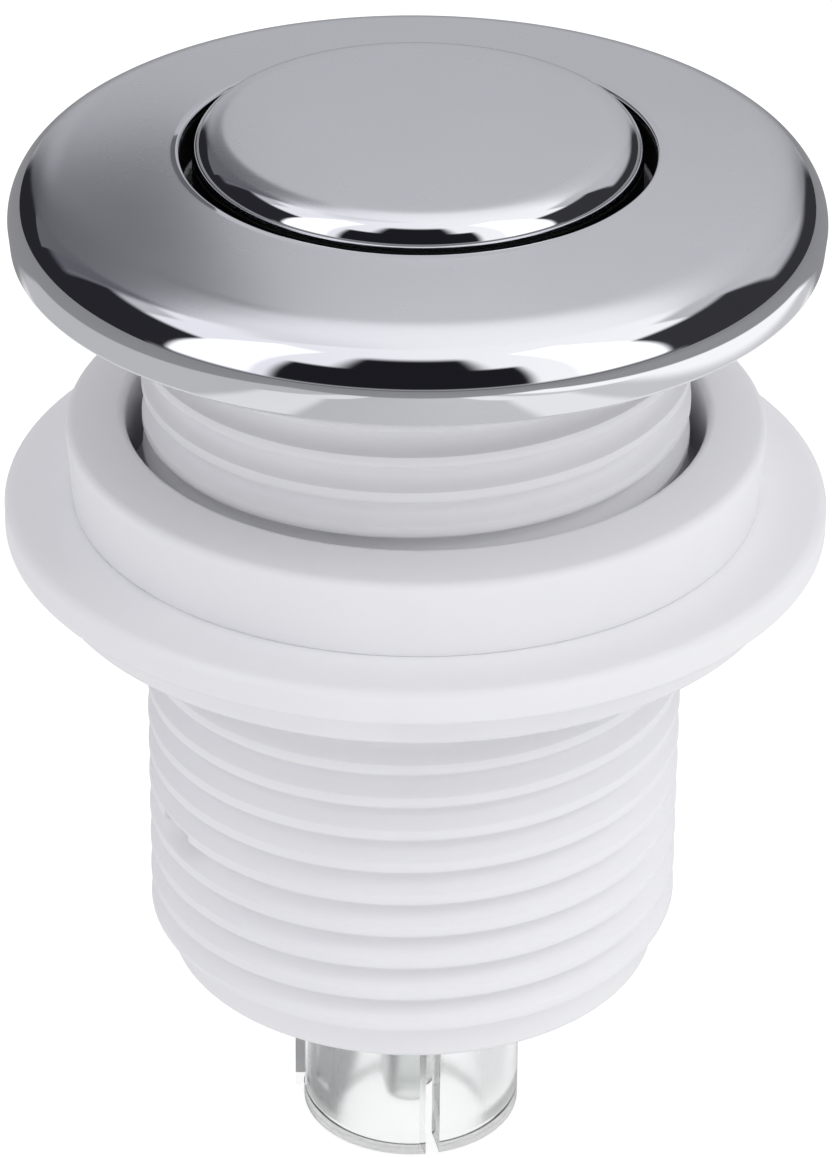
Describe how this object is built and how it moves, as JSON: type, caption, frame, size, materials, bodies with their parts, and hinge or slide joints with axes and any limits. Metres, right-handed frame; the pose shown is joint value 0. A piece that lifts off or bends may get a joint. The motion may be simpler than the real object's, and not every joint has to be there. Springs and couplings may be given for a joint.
{
  "type": "sink top air switch",
  "caption": "Round push-button air switch with a plated bezel, threaded plastic shank, loose sealing washer, flanged nut and clear hose connector.",
  "frame": {"origin": "on the switch's axis at the top of the sink deck, the plane where the deck gasket seats", "axes": "+Z along the axis, up out of the deck through the button; -Y is the front that the picture shows; +X is its right"},
  "size_m": [0.0502, 0.0502, 0.0698],
  "materials": {
    "chrome_plate": "chrome plate, satin on top and bright at the rims",
    "white_plastic": "moulded white plastic, soft sheen",
    "white_washer": "white moulded washer, matt",
    "clear_plastic": "clear moulded plastic, polished",
    "black_rubber": "moulded rubber",
    "spring_steel": "bright drawn steel"
  },
  "bodies": {
    "switch": {"body": "white_plastic", "bezel": "chrome_plate", "bezel_seal": "black_rubber", "deck_gasket": "black_rubber", "guide_sleeve": "white_plastic", "sleeve_circlip": "spring_steel", "stem_wiper": "black_rubber", "spring_seat": "spring_steel", "return_spring": "spring_steel", "bellows": "black_rubber", "bellows_clamp": "white_plastic", "connector_seal": "black_rubber", "end_cap": "white_plastic", "end_circlip": "spring_steel", "air_connector": "clear_plastic"},
    "button": {"button_cap": "chrome_plate", "button_plunger": "white_plastic", "stem_clip": "spring_steel", "bellows_plate": "white_plastic"},
    "washer": {"sealing_washer": "white_washer"},
    "nut": {"flange_nut": "white_plastic"}
  },
  "joints": [
    {"name": "button_press", "type": "slide", "parent": "switch", "child": "button", "axis": [0, 0, -1], "range_m": [0, 0.005], "stiffness_N_per_m": 500, "springref_m": -0.012, "deforming": ["return_spring", "bellows"]},
    {"name": "nut_travel", "type": "slide", "parent": "switch", "child": "washer", "axis": [0, 0, 1], "range_m": [-0.0243, 0.0104]},
    {"name": "nut_spin", "type": "hinge", "parent": "washer", "child": "nut", "pos_m": [0, 0, -0.0188], "axis": [0, 0, 1], "range_deg": [-3780, 1620]}
  ],
  "couplings": [
    {"joint": "nut_travel", "follows": "nut_spin", "m_per_rad": 0.00036749}
  ]
}
